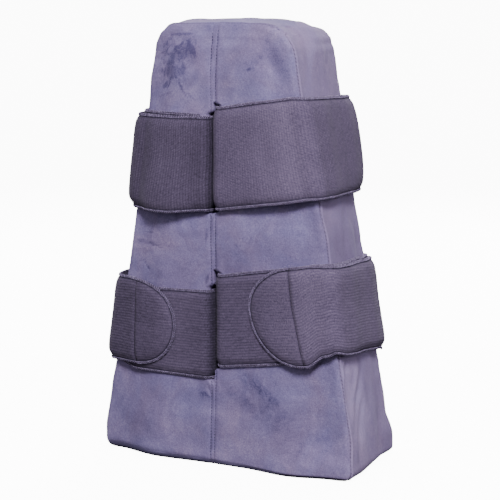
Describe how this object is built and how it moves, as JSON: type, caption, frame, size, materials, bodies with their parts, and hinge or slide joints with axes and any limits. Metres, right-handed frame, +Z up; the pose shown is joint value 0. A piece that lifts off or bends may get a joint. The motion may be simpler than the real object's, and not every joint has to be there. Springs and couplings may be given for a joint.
{
  "type": "hip abduction pillow",
  "caption": "Soft wedge that keeps the legs apart, standing on its broad end, with cloth leg straps wrapped round its sides.",
  "frame": {"origin": "centre of the base, on the surface that the pillow stands on", "axes": "+Z up from the broad end to the narrow end, -Y out of the front panel, +X to the right of the front"},
  "size_m": [0.3028, 0.1505, 0.4668],
  "materials": {
    "plush": "short pile velour, lavender grey",
    "strap_cloth": "ribbed loop cloth, dark mauve grey"
  },
  "bodies": {
    "root": {"pillow": "plush", "strap_upper_left_inner": "strap_cloth", "strap_upper_left_outer": "strap_cloth", "strap_upper_right_inner": "strap_cloth", "strap_upper_right_outer": "strap_cloth", "strap_lower_left_inner": "strap_cloth", "strap_lower_left_outer": "strap_cloth", "strap_lower_right_inner": "strap_cloth", "strap_lower_right_outer": "strap_cloth", "tab_upper_left": "strap_cloth", "tab_upper_right": "strap_cloth", "tab_lower_left": "strap_cloth", "tab_lower_right": "strap_cloth"}
  },
  "joints": []
}
